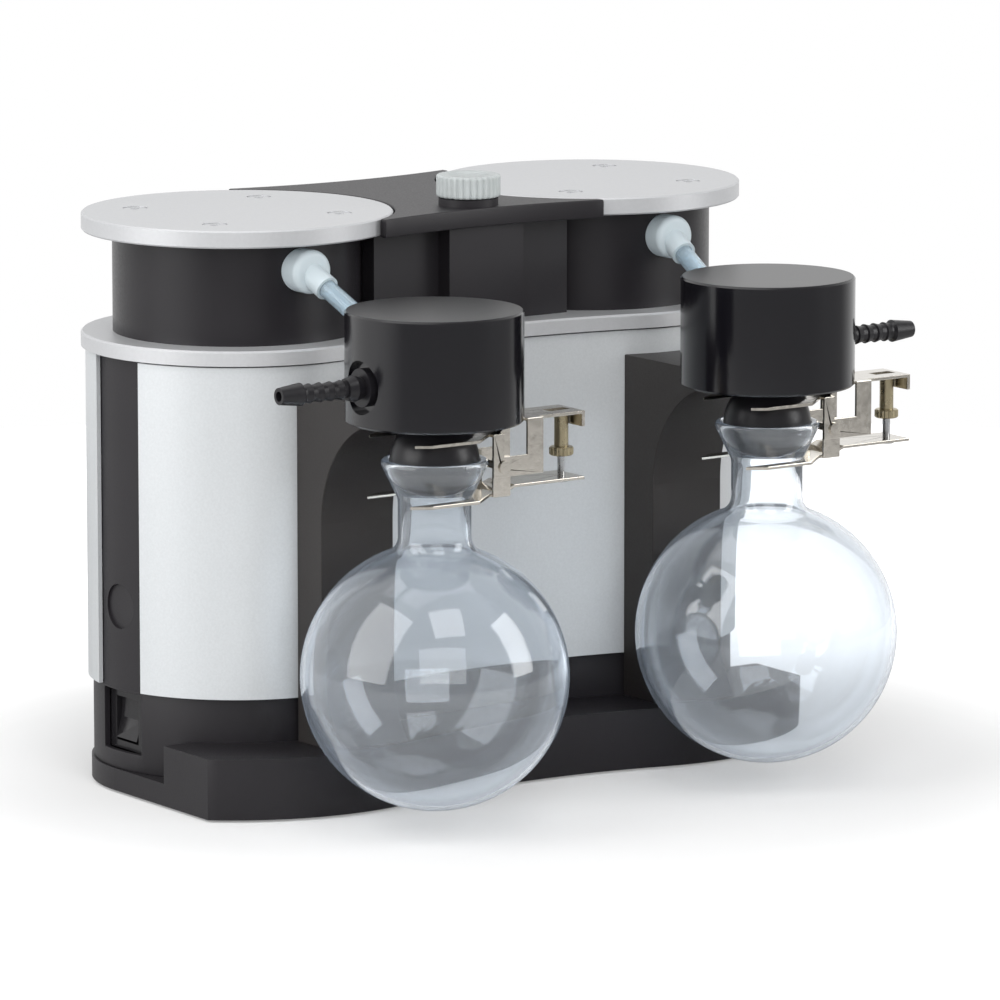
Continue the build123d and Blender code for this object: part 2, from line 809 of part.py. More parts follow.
def separator_head(side):
    """Turned black head that joins the flask, the tube from the pump and the hose barb."""
    x = side * separator_x
    top = separator_bottom + separator_height
    head = upright(x, -separator_y, separator_radius, separator_bottom, top)
    head = chamfer(head.edges().filter_by(GeomType.CIRCLE), separator_edge)
    head -= upright(x, -separator_y, separator_bore, separator_bottom - over,
                    separator_bottom + separator_bore_height)
    head -= upright(x, -separator_y, ball_stem_radius + seat_gap, separator_bottom - over,
                    separator_bottom + ball_stem_depth)
    back = separator_radius - separator_y
    head -= along_y(side * port_x, back - port_depth, back + over, port_height, tube_radius + tube_gap)
    thread_end = spotface_reach - barb_thread_length
    for radius, start, end in ((separator_passage, 0, spotface_reach),
                               (barb_thread_radius + seat_gap, thread_end, spotface_reach),
                               (spotface_radius, spotface_reach, separator_radius + over)):
        head -= barb_place(side) * Pos(0, 0, (start + end) / 2) * Cylinder(radius, end - start)
    return head


def barb_place(side):
    """Frame on the separator's axis whose +Z points out along the hose barb."""
    return Pos(side * separator_x, -separator_y, barb_height) * Rot(0, side * 90, 0)


def hose_barb(side):
    """Nipple with a flange, a ball-shaped grip, small rings and one long barb at the tip."""
    base = spotface_reach
    ball = base + barb_flange_length
    core = ball + barb_ball_length
    inner_end = base - barb_thread_length + seat_gap
    points = [(barb_bore, inner_end), (barb_thread_radius, inner_end), (barb_thread_radius, base),
              (barb_flange_radius, base), (barb_flange_radius, ball),
              (barb_ball_ends, ball), (barb_ball_radius, ball + barb_ball_length / 2),
              (barb_ball_ends, core), (barb_core_radius, core)]
    for index in range(barb_ring_count):
        start = core + index * barb_ring_pitch
        points.append((barb_core_radius, start + barb_ring_start))
        points.append((barb_ring_radius, start + barb_ring_peak))
        points.append((barb_core_radius, start + barb_ring_end))
    tip = core + barb_ring_count * barb_ring_pitch
    points += [(barb_core_radius, tip + barb_tip_start), (barb_tip_radius, tip + barb_tip_peak),
               (barb_core_radius, tip + barb_tip_length), (barb_bore, tip + barb_tip_length)]
    return barb_place(side) * turned(points)


def ball_joint():
    """Black ball with a stem that is held in the separator head."""
    low = ball_height - math.sqrt(ball_radius**2 - ball_cut_radius**2)
    top = separator_bottom + ball_stem_depth - seat_gap
    ball = Pos(0, 0, ball_height) * Sphere(ball_radius)
    ball -= block(-ball_radius, ball_radius, -ball_radius, ball_radius, low - ball_radius, low)
    ball += upright(0, 0, ball_stem_radius, ball_height, top)
    return ball - upright(0, 0, separator_bore, low - over, top + over)


def ball_joints():
    """One ball under each separator head."""
    return group([Pos(side * separator_x, -separator_y, 0) * ball_joint() for side in (LEFT, RIGHT)])


def flask(side):
    """Round glass flask with a straight neck and a cup-shaped socket that takes the ball."""
    neck_root = flask_centre + math.sqrt(flask_radius**2 - neck_radius**2)
    outer = Pos(0, 0, flask_centre) * Sphere(flask_radius)
    outer += upright(0, 0, neck_radius, flask_centre, socket_cone_bottom + over)
    circles = outer.edges().filter_by(GeomType.CIRCLE)
    outer = fillet([e for e in circles if abs(e.center().Z - neck_root) < over / 2], neck_blend)
    outer += turned([(0, socket_cone_bottom), (neck_radius, socket_cone_bottom),
                     (socket_rim_radius, socket_rim_height - socket_rim_band),
                     (socket_rim_radius, socket_rim_height), (0, socket_rim_height)])
    inner = Pos(0, 0, flask_centre) * Sphere(flask_radius - flask_wall)
    inner += upright(0, 0, neck_radius - flask_wall, flask_centre, socket_rim_height)
    inner += Pos(0, 0, ball_height) * Sphere(ball_radius + joint_gap)
    return Pos(side * separator_x, -separator_y, 0) * (outer - inner)


# ---- elbows and tubes ----

def tube_route(side):
    """Points of the tube from inside the elbow's spout to inside the separator head."""
    start = Vector(side * elbow_x, -head_radius - elbow_length / 2, elbow_height)
    port_y = -separator_y + separator_radius
    bend = Vector(side * port_x, port_y + tube_bend_out, port_height)
    direction = (bend - start).normalized()
    mouth = start + direction * (spout_length - tube_in_spout)
    end = Vector(side * port_x, port_y - port_depth + seat_gap, port_height)
    return [mouth, bend, end]


def tube_radii(route):
    """Largest arc at each corner: a share of the shorter run over the tangent of half the turn."""
    radii = []
    for before, corner, after in zip(route, route[1:], route[2:]):
        run_in = corner - before
        run_out = after - corner
        half_turn = math.radians(run_in.get_angle(run_out)) / 2
        radii.append(tube_arc_share * min(run_in.length, run_out.length) / math.tan(half_turn))
    return radii


def tube(side):
    """Clear tube from the elbow on the pump head to the back of the separator head."""
    route = tube_route(side)
    radii = tube_radii(route)
    path = FilletPolyline(*route, radius=radii)
    start = Plane(origin=path @ 0, z_dir=path % 0)
    outer = sweep(start * Circle(tube_radius), path=path)
    inner = sweep(start * Circle(tube_bore), path=path)
    wall = outer - inner
    length = path.length
    expected = math.pi * (tube_radius**2 - tube_bore**2) * length
    print("tube", side, "radii", [round(r, 1) for r in radii], "length", round(length, 2),
          "volume", round(wall.volume, 1), "expected", round(expected, 1))
    return wall


def elbow(side):
    """Milky elbow on the front of a pump head, with a spout that points down to the separator."""
    x = side * elbow_x
    front = -head_radius - elbow_length
    cap = along_y(x, -head_radius + spigot_length, front, elbow_height, elbow_radius)
    rim = cap.edges().filter_by(GeomType.CIRCLE).sort_by(Axis.Y)[0]
    cap = fillet(rim, elbow_edge)
    cap -= upright(side * head_half_span, 0, head_radius + seat_gap, elbow_height - elbow_radius - over,
                   elbow_height + elbow_radius + over)
    cap += along_y(x, -head_radius + spigot_length, -head_radius - over, elbow_height, spigot_radius)
    route = tube_route(side)
    direction = (route[1] - route[0]).normalized()
    start = Vector(x, -head_radius - elbow_length / 2, elbow_height)
    spout_plane = Plane(origin=start, z_dir=direction)
    cap += extrude(spout_plane * Circle(spout_radius), spout_length)
    mouth = Plane(origin=route[0], z_dir=direction)
    return cap - extrude(mouth * Circle(tube_radius + tube_gap), spout_length)


def elbow_fittings():
    """One elbow on each pump head."""
    return group([elbow(side) for side in (LEFT, RIGHT)])


# ---- fork clamps, drawn about the separator's axis with the handle towards +X ----

def fork_plate(opening, bottom):
    """Flat two-pronged plate, open towards -X."""
    half = [(-fork_tip, fork_half_width - prong_bevel), (prong_bevel_length - fork_tip, fork_half_width),
            (fork_shoulder, fork_half_width), (hinge_x - upper_ear_width, handle_half_width),
            (hinge_x, handle_half_width)]
    outline = half + [(x, -y) for x, y in reversed(half)]
    plate = Pos(0, 0, bottom) * extrude(make_face(Polyline(*outline, close=True)), sheet)
    plate -= upright(0, 0, opening, bottom - over, bottom + sheet + over)
    return plate - block(-fork_tip - over, 0, -opening, opening, bottom - over, bottom + sheet + over)


def handle_plate(start_height, handle_height, curl):
    """Sloped web and flat handle that follow on from a fork plate."""
    slope = sheet * math.tan(math.atan2(handle_height - start_height, web_run) / 2)
    profile = [(hinge_x - web_root, start_height), (hinge_x, start_height), (handle_start, handle_height),
               (handle_end, handle_height), (handle_end, handle_height + sheet),
               (handle_start - slope, handle_height + sheet), (hinge_x - slope, start_height + sheet),
               (hinge_x - web_root, start_height + sheet)]
    face = Plane.XZ * make_face(Polyline(*profile, close=True))
    plate = extrude(face, handle_half_width, both=True)
    if curl:
        plate += block(handle_end - sheet, handle_end, -handle_half_width, handle_half_width,
                       handle_height - curl_drop, handle_height + sheet)
    return plate


def ear_pair(inner_face, x_low, x_high, z_low, z_high):
    """Two upright sheet ears, one on each side of the handle."""
    return [block(x_low, x_high, inner_face, inner_face + sheet, z_low, z_high),
            block(x_low, x_high, -inner_face - sheet, -inner_face, z_low, z_high)]


def clamp_upper():
    """Upper lever: fork over the ball, ears down to the hinge, handle with a slot for the stud."""
    lever = fork_plate(upper_opening, upper_fork_height)
    lever += handle_plate(upper_fork_height, upper_handle_height, True)
    ear_face = handle_half_width + ear_gap + sheet
    low = hinge_height - ear_half_height
    near = hinge_x - upper_ear_width
    wide = ear_face + sheet
    fork_top = upper_fork_height + sheet
    handle_top = upper_handle_height + sheet
    lever += block(near, hinge_x, -wide, wide, upper_fork_height, fork_top)
    lever += block(strip_start, strip_end, -wide, wide, upper_handle_height, handle_top)
    lever += ear_pair(ear_face, near, hinge_x, low, fork_top)
    lever += ear_pair(ear_face, strip_start, strip_end, low, handle_top)
    lever += ear_pair(ear_face, near, strip_end, low, hinge_height + ear_half_height)
    slot_half = stud_radius + slot_gap
    slot_end = stud_x + slot_half
    slot = block(slot_end - slot_length, slot_end, -slot_half, slot_half, upper_handle_height - over,
                 handle_top + over)
    return lever - slot - along_y(hinge_x, -wide - over, wide + over, hinge_height, pin_radius)


def clamp_pin():
    """Rivet pin through all four ears."""
    wide = handle_half_width + ear_gap + 2 * sheet
    pin = along_y(hinge_x, -wide, wide, hinge_height, pin_radius)
    for end in (-1, 1):
        pin += along_y(hinge_x, end * wide, end * (wide + pin_head_length), hinge_height, pin_head_radius)
    return pin


def clamp_lower():
    """Lower lever: fork under the socket, ears up to the hinge, handle that holds the stud."""
    lever = fork_plate(lower_opening, lower_fork_height)
    lever += handle_plate(lower_fork_height, lower_handle_height, False)
    near = hinge_x - ear_half_width
    wide = handle_half_width + sheet
    lever += ear_pair(handle_half_width, near, hinge_x + ear_half_width, lower_fork_height,
                      hinge_height + ear_half_height)
    lever += block(near, hinge_x, -wide, wide, lower_fork_height, lower_fork_height + sheet)
    lever -= along_y(hinge_x, -wide - over, wide + over, hinge_height, pin_radius + running_gap)
    top = lower_handle_height + sheet
    return lever - upright(stud_x, 0, stud_radius, lower_handle_height - over, top + over)


def clamp_stud():
    """Threaded stud fixed in the lower handle."""
    stud = upright(stud_x, 0, stud_radius, lower_handle_height, stud_top)
    return stud + upright(stud_x, 0, stud_head_radius, lower_handle_height - stud_head_height,
                          lower_handle_height)


def clamp_nut():
    """Knurled nut with a collar that pushes the two handles apart."""
    nut = upright(stud_x, 0, nut_radius, nut_bottom, nut_bottom + nut_height)
    nut = chamfer(nut.edges().filter_by(GeomType.CIRCLE), nut_edge)
    nut -= flutes(stud_x, 0, nut_radius + nut_flute_out, nut_flutes, nut_flute_radius, nut_bottom - over,
                  nut_bottom + nut_height + over)
    top = upper_handle_height - joint_gap
    nut += upright(stud_x, 0, nut_collar_radius, nut_bottom + over, top)
    return nut - upright(stud_x, 0, stud_radius + running_gap, nut_bottom - over, top + over)


# ---- switch and inlet ----

def switch_face():
    """Where the switch frame's outer face lies on X."""
    far_edge = abs(switch_y) + switch_width / 2
    return switch_recess - head_half_span - math.sqrt(casing_radius**2 - far_edge**2)


def rocker_pivots(radius, length):
    """Two short level pins on the rocker's axis, one at each side."""
    x = switch_face() + rocker_thickness / 2 + rocker_sink
    near = rocker_width / 2 - over
    far = rocker_width / 2 + length
    return [along_y(x, switch_y + near, switch_y + far, switch_height, radius),
            along_y(x, switch_y - near, switch_y - far, switch_height, radius)]


def switch_bezel():
    """Square switch frame with its box behind the wall."""
    face = switch_face()
    half = switch_width / 2
    frame = block(face, face + switch_depth, switch_y - half, switch_y + half,
                  switch_height - switch_tall / 2, switch_height + switch_tall / 2)
    half_wide = rocker_width / 2 + window_gap
    half_long = rocker_length / 2 + window_gap
    window_back = face + rocker_thickness + rocker_sink + window_floor
    frame -= block(face - over, window_back, switch_y - half_wide, switch_y + half_wide,
                   switch_height - half_long, switch_height + half_long)
    return frame - rocker_pivots(rocker_pivot_radius + running_gap, rocker_pivot_length + seat_gap)


def switch_rocker():
    """Rocker that tips about a level axis, drawn tipped to off."""
    half = rocker_length / 2
    front = -rocker_thickness / 2
    back = rocker_thickness / 2
    profile = [(front, -half), (front + rocker_dish, 0), (front, half),
               (back - rocker_edge_depth, half - rocker_edge_length), (back, 0),
               (back - rocker_edge_depth, rocker_edge_length - half)]
    face = Plane.XZ * make_face(Polyline(*profile, close=True))
    rocker = extrude(face, rocker_width / 2, both=True)
    middle = switch_face() + rocker_thickness / 2 + rocker_sink
    rocker = Pos(middle, switch_y, switch_height) * Rot(0, rocker_tilt, 0) * rocker
    return rocker + rocker_pivots(rocker_pivot_radius, rocker_pivot_length)


def mains_inlet():
    """Three-pin appliance inlet with its pins as separate solids."""
    face = math.sqrt(casing_radius**2 - (inlet_width / 2)**2) + head_half_span
    half_wide = inlet_width / 2
    half_tall = inlet_tall / 2
    body = block(face - inlet_depth, face, -half_wide, half_wide, inlet_height - half_tall,
                 inlet_height + half_tall)
    floor = face - inlet_cavity_depth
    body -= block(floor, face + over, -inlet_cavity_width / 2, inlet_cavity_width / 2,
                  inlet_height - inlet_cavity_tall / 2, inlet_height + inlet_cavity_tall / 2)
    pins = []
    for index in (-1, 0, 1):
        y = index * inlet_pin_spacing
        z = inlet_height + (inlet_pin_stagger if index == 0 else -inlet_pin_stagger)
        pin = block(floor, floor + inlet_pin_length, y - inlet_pin_thick / 2, y + inlet_pin_thick / 2,
                    z - inlet_pin_width / 2, z + inlet_pin_width / 2)
        pins.append(pin)
    return group([body] + pins)


def build():
    """Make and write every piece."""
    os.makedirs("parts", exist_ok=True)
    save(base_tray(), "base_tray")
    save(rubber_feet(), "rubber_feet")
    save(lower_housing(), "lower_housing")
    save(casing(), "casing")
    save(side_panel(True), "front_panel")
    save(side_panel(False), "rear_panel")
    save(collar_plate(), "collar_plate")
    save(valve_plates(), "valve_plates")
    save(valve_flaps(), "valve_flaps")
    save(head_cover_screws(), "head_cover_screws")
    save(centre_block(), "centre_block")
    save(bridge_plate(), "bridge_plate")
    save(vent_valve_seat(), "vent_valve_seat")
    save(vent_knob(), "vent_knob")
    save(shaft_bearings(), "shaft_bearings")
    save(motor_stator(), "motor_stator")
    save(motor_windings(), "motor_windings")
    save(motor_shaft(), "motor_shaft")
    save(rotor_core(), "rotor_core")
    save(eccentrics(), "eccentrics")
    save(run_capacitor(), "run_capacitor")
    save(ball_joints(), "ball_joints")
    save(elbow_fittings(), "elbow_fittings")
    save(switch_bezel(), "switch_bezel")
    save(switch_rocker(), "switch_rocker")
    save(mains_inlet(), "mains_inlet")
    for side, word in ((LEFT, "left"), (RIGHT, "right")):
        clamp_place = Pos(side * separator_x, -separator_y, 0)
        save(head_body(side), f"{word}_head_body")
        save(head_cover(side), f"{word}_head_cover")
        save(crankcase(side), f"{word}_crankcase")
        save(rod_bearing(side), f"{word}_rod_bearing")
        save(connecting_rod(side), f"{word}_connecting_rod")
        save(pressure_disc(side), f"{word}_pressure_disc")
        save(diaphragm(side), f"{word}_diaphragm")
        save(bracket(side), f"{word}_bracket")
        save(separator_head(side), f"{word}_separator_head")
        save(hose_barb(side), f"{word}_hose_barb")
        save(flask(side), f"{word}_flask")
        save(tube(side), f"{word}_tube")
        save(clamp_place * clamp_upper(), f"{word}_clamp_upper")
        save(clamp_place * clamp_pin(), f"{word}_clamp_pin")
        save(clamp_place * clamp_lower(), f"{word}_clamp_lower")
        save(clamp_place * clamp_stud(), f"{word}_clamp_stud")
        save(clamp_place * clamp_nut(), f"{word}_clamp_nut")


build()
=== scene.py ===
import math

import bmesh
import bpy
import numpy as np
from bpy.props import FloatProperty, FloatVectorProperty, IntProperty, PointerProperty
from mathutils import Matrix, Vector


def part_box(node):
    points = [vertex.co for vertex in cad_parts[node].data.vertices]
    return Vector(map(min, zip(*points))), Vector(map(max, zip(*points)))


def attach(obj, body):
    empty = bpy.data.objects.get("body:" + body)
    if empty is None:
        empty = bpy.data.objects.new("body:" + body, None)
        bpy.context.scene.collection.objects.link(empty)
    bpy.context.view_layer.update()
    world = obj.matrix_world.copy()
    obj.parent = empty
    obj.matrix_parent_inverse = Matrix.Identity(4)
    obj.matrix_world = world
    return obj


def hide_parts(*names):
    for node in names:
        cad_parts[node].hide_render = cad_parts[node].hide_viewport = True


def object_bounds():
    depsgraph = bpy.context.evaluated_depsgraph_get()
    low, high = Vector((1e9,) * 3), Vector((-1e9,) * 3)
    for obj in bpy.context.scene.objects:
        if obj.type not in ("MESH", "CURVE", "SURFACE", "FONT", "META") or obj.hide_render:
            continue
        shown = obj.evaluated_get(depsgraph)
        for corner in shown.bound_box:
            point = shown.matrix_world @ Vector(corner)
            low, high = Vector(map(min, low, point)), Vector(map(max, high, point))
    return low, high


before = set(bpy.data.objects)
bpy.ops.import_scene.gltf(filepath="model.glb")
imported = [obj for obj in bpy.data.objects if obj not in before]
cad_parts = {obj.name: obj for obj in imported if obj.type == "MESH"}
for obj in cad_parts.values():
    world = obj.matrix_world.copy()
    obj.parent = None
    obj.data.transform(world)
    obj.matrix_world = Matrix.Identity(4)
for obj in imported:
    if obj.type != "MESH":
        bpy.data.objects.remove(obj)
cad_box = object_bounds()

bl_info = {
    "name": "Diaphragm vacuum pump",
    "version": (1, 0, 0),
    "blender": (4, 5, 0),
    "location": "View3D > Sidebar > Pump",
    "description": "Dresses the bench vacuum pump: glass flasks, knob, finishes and studio",
    "category": "Object",
}

SIDES = ("left", "right")
MM = 0.001

# Points nearer than this, in metres, are one point, and shorter edges are dropped.
SAME_POINT = 1e-6
SHORT_EDGE = 1e-7

# Most values of a noise lie between these two.
NOISE_LOW = 0.3
NOISE_HIGH = 0.7

# Each soft lamp: its name, its place and size in metres, its watts, and whether gloss shows it.
# The fill lights the front evenly, and gloss shows the dark room there instead of the lamp.
LAMPS = (
    ("left_softbox", (-1.55, 0.1, 0.95), (1.3, 1.9), 23.0, True),
    ("right_softbox", (1.3, -1.3, 0.85), (0.8, 1.5), 17.0, True),
    ("top_softbox", (0.0, 0.25, 1.8), (1.6, 1.2), 4.0, True),
    ("front_softbox", (-0.5, -1.5, 2.3), (1.2, 1.2), 14.0, True),
    ("front_fill", (-1.0, -1.9, 0.8), (1.6, 1.2), 27.0, False),
)


def linear(code):
    """Linear red, green and blue of an sRGB hex code."""
    values = np.array([int(code[i:i + 2], 16) for i in (0, 2, 4)]) / 255
    return tuple(np.where(values <= 0.04045, values / 12.92, ((values + 0.055) / 1.055) ** 2.4))


def colour(name, code, description):
    """A colour setting whose default is an sRGB hex code."""
    return FloatVectorProperty(name=name, description=description, subtype="COLOR", size=3,
                               min=0.0, max=1.0, default=linear(code))


def length(name, millimetres, description):
    """A length setting whose default is in millimetres."""
    return FloatProperty(name=name, description=description, unit="LENGTH", min=0.0,
                         default=millimetres * MM)


def pair(*names):
    """The left and the right node of each name."""
    return [f"{side}_{name}" for name in names for side in SIDES]


class FlaskSettings(bpy.types.PropertyGroup):
    wall: length("Wall", 1.8, "Glass wall of bulb and neck")
    neck_radius: length("Neck radius", 14.3, "Outer radius of the straight neck")
    neck_blend: length("Neck blend", 6.5, "Radius where the neck runs into the bulb")
    rim_radius: length("Rim radius", 20.75, "Outer radius of the socket's rim")
    rim_band: length("Rim band", 2.2, "Height of the thick rim")
    cone_height: length("Cone height", 15.0, "From the rim down to the straight neck")
    ball_radius: length("Ball radius", 17.8, "Radius of the ground cup")
    ball_above: length("Ball centre", 0.4, "How far the cup's centre is below the rim")
    tint: colour("Tint", "F3F7FB", "Colour of light that has passed through the glass")
    steps: IntProperty(name="Steps", description="Steps round the flask", default=144, min=24)


class KnobSettings(bpy.types.PropertyGroup):
    ribs: IntProperty(name="Ribs", description="Ribs round the knob", default=30, min=8)
    rib_depth: length("Rib depth", 0.8, "Depth of the grooves between the ribs")
    edge: length("Edge", 1.1, "Rounding of the knob's top and bottom edges")
    dish: length("Dish", 0.9, "Depth of the round hollow in the knob's top")
    base: colour("Colour", "ABB0B0", "Moulded grey of the knob")


class FinishSettings(bpy.types.PropertyGroup):
    sheet: colour("Silver sheet", "CBCED0", "Coated sheet round the casing")
    plate: colour("Silver plate", "C3C4C6", "Satin plate of covers and collar")
    housing: colour("Housing", "1F1D20", "Moulded black of casing and tray")
    heads: colour("Heads", "1E1C1F", "Moulded black of the pump heads")
    arms: colour("Arms", "2A2726", "Charcoal coat of the brackets")
    anodised: colour("Anodised", "0C0B10", "Black anodised separators")
    nickel: colour("Nickel", "D2CDC4", "Bright nickel plate of the clamps")
    nut: colour("Nut", "B3A88C", "Pale brass of the knurled nuts")
    milky: colour("Elbow", "CBD6DB", "Milky fluoropolymer of the elbows")
    tube: colour("Tube", "CFE0EA", "Clear fluoropolymer tube")


class StudioSettings(bpy.types.PropertyGroup):
    azimuth: FloatProperty(name="Azimuth", description="Turn of the camera from straight ahead",
                           subtype="ANGLE", default=math.radians(34.778))
    elevation: FloatProperty(name="Elevation", description="How far the camera looks down",
                             subtype="ANGLE", default=math.radians(9.871))
    lens: FloatProperty(name="Lens", description="Focal length for a 36 mm wide sensor",
                        default=271.76)
    place: FloatVectorProperty(name="Camera", description="Where the camera stands",
                               subtype="TRANSLATION", size=3, default=(-1.7027, -2.4515, 0.6322))
    floor: colour("Floor", "CDCDCD", "Plain pale floor")
    reach: length("Floor reach", 900.0, "Radius of the floor, past which all is white")
    shade: length("Shade", 160.0, "Distance from the middle to which the floor stays shaded")
    white: length("White", 420.0, "Distance from the middle past which the floor is white")
    lift: FloatProperty(name="Lift", description="Glow of the floor near the part", default=0.25)
    room: FloatProperty(name="Room light", description="Strength of the even light from all round",
                        default=0.36)
    front: FloatProperty(name="Front", description="What gloss shows of the unlit room in front",
                         default=0.12)
    lamps: FloatProperty(name="Lamps", description="Common strength of the soft lamps",
                         default=1.0)


# ---- materials ----

def add(tree, kind, inputs=None, links=None, **settings):
    """Adds one node with its settings, its input values and its links."""
    node = tree.nodes.new(kind)
    for key, value in settings.items():
        setattr(node, key, value)
    for key, value in (inputs or {}).items():
        node.inputs[key].default_value = value
    for key, socket in (links or {}).items():
        tree.links.new(socket, node.inputs[key])
    return node


def finish(name, base, **sockets):
    """A new material with a Principled shader whose constant values sit on its own sockets.

    A keyword names its socket: specular_ior_level is the one called Specular IOR Level.
    """
    material = bpy.data.materials.new(name)
    material.use_nodes = True
    tree = material.node_tree
    tree.nodes.clear()
    shader = add(tree, "ShaderNodeBsdfPrincipled", {"Base Color": (*base, 1.0)})
    for key, value in sockets.items():
        socket = key.replace("_", " ").title().replace("Ior", "IOR")
        shader.inputs[socket].default_value = value
    add(tree, "ShaderNodeOutputMaterial", links={"Surface": shader.outputs["BSDF"]})
    return material, tree, shader


def grain(tree, shader, size, height, spread, stretch=(1.0, 1.0, 1.0)):
    """Noise of a real grain size in metres as a bump, and as a spread of the roughness."""
    place = add(tree, "ShaderNodeTexCoord")
    scaled = add(tree, "ShaderNodeMapping", {"Scale": stretch},
                 {"Vector": place.outputs["Object"]})
    noise = add(tree, "ShaderNodeTexNoise", {"Scale": 1 / size, "Detail": 3.0},
                {"Vector": scaled.outputs["Vector"]})
    bump = add(tree, "ShaderNodeBump", {"Strength": 1.0, "Distance": height},
               {"Height": noise.outputs["Fac"]})
    tree.links.new(bump.outputs["Normal"], shader.inputs["Normal"])
    even = shader.inputs["Roughness"].default_value
    rough = add(tree, "ShaderNodeMapRange",
                {"From Min": NOISE_LOW, "From Max": NOISE_HIGH,
                 "To Min": even - spread, "To Max": even + spread},
                {"Value": noise.outputs["Fac"]})
    tree.links.new(rough.outputs["Result"], shader.inputs["Roughness"])


def mottle(tree, shader, base, size, amount):
    """Slow change of the base colour, as handling and moulding leave it."""
    place = add(tree, "ShaderNodeTexCoord")
    noise = add(tree, "ShaderNodeTexNoise", {"Scale": 1 / size, "Detail": 2.0},
                {"Vector": place.outputs["Object"]})
    ramp = add(tree, "ShaderNodeValToRGB", links={"Fac": noise.outputs["Fac"]})
    dark, light = ramp.color_ramp.elements
    dark.position, light.position = NOISE_LOW, NOISE_HIGH
    dark.color = (*[c * (1 - amount) for c in base], 1.0)
    light.color = (*[min(c * (1 + amount), 1.0) for c in base], 1.0)
    tree.links.new(ramp.outputs["Color"], shader.inputs["Base Color"])


def coated_sheet(base):
    """Steel sheet with a silver powder coat: broad soft reflections with a metallic sparkle."""
    material, tree, shader = finish("silver_coated_steel_sheet", base, metallic=0.35,
                                    roughness=0.38, specular_ior_level=0.3)
    mottle(tree, shader, base, 0.9 * MM, 0.03)
    # The coat's grain is about 0.1 mm, drawn at 0.5 mm so that it shows.
    grain(tree, shader, 0.5 * MM, 0.008 * MM, 0.03)
    return material


def satin_plate(base):
    """Bead-blasted aluminium plate: even, pale and soft, with a finer grain than the sheet."""
    material, tree, shader = finish("satin_aluminium_plate", base, metallic=0.45,
                                    roughness=0.42, specular_ior_level=0.3)
    mottle(tree, shader, base, 1.4 * MM, 0.02)
    # Blasting leaves pits of about 0.1 mm, drawn at 0.35 mm so that they show.
    grain(tree, shader, 0.35 * MM, 0.006 * MM, 0.03)
    return material


def moulded(name, base, roughness, size, height):
    """Moulded plastic or rubber, or a powder coat: dull, textured, with a broad soft sheen.

    The textures are given a few times coarser than the real ones, so that they show.
    """
    material, tree, shader = finish(name, base, roughness=roughness, ior=1.52,
                                    specular_ior_level=0.35)
    mottle(tree, shader, base, 25 * MM, 0.06)
    grain(tree, shader, size, height, 0.05)
    return material


def turned_black(base, centre, top):
    """Black anodised aluminium from a lathe: a smooth glossy side, fine rings on the flat top."""
    smooth, ringed = 0.15, 0.32
    material, tree, shader = finish("turned_black_anodised_aluminium", base, metallic=0.1,
                                    roughness=smooth, specular_ior_level=0.75)
    place = add(tree, "ShaderNodeTexCoord")
    apart = add(tree, "ShaderNodeSeparateXYZ", links={"Vector": place.outputs["Object"]})
    # Both separators share the pattern: the distance from either axis is read from |x|.
    mirrored = add(tree, "ShaderNodeMath", links={0: apart.outputs["X"]}, operation="ABSOLUTE")
    joined = add(tree, "ShaderNodeCombineXYZ",
                 links={"X": mirrored.outputs["Value"], "Y": apart.outputs["Y"]})
    moved = add(tree, "ShaderNodeVectorMath", {1: (centre.x, centre.y, 0.0)},
                {0: joined.outputs["Vector"]}, operation="SUBTRACT")
    reach = add(tree, "ShaderNodeVectorMath", links={0: moved.outputs["Vector"]},
                operation="LENGTH")
    # The tool's feed is about 0.1 mm a turn, drawn at 0.6 mm so that the rings show.
    along = add(tree, "ShaderNodeMath", {1: 1 / (0.6 * MM)}, {0: reach.outputs["Value"]},
                operation="MULTIPLY")
    lines = add(tree, "ShaderNodeTexNoise", {"Scale": 1.0, "Detail": 2.0},
                {"W": along.outputs["Value"]}, noise_dimensions="1D")
    # The rings fade in over the last half millimetre below the top, so the side has none.
    flat = add(tree, "ShaderNodeMapRange", {"From Min": top - 0.5 * MM, "From Max": top - 0.1 * MM},
               {"Value": apart.outputs["Z"]})
    bump = add(tree, "ShaderNodeBump", {"Distance": 0.02 * MM},
               {"Height": lines.outputs["Fac"], "Strength": flat.outputs["Result"]})
    tree.links.new(bump.outputs["Normal"], shader.inputs["Normal"])
    rough = add(tree, "ShaderNodeMapRange", {"To Min": smooth, "To Max": ringed},
                {"Value": flat.outputs["Result"]})
    tree.links.new(rough.outputs["Result"], shader.inputs["Roughness"])
    return material


def plated(name, base, roughness):
    """Bright plated metal: mirror-like, a little wavy from stamping, with dull handling marks."""
    material, tree, shader = finish(name, base, metallic=1.0, roughness=roughness)
    grain(tree, shader, 3.0 * MM, 0.02 * MM, 0.06)
    return material


def fluoropolymer(name, base, transmission, roughness):
    """Extruded or moulded fluoropolymer: light passes, blurred the more the rougher it is."""
    material, tree, shader = finish(name, base, roughness=roughness, ior=1.36,
                                    transmission_weight=transmission)
    grain(tree, shader, 1.2 * MM, 0.01 * MM, 0.04)
    return material


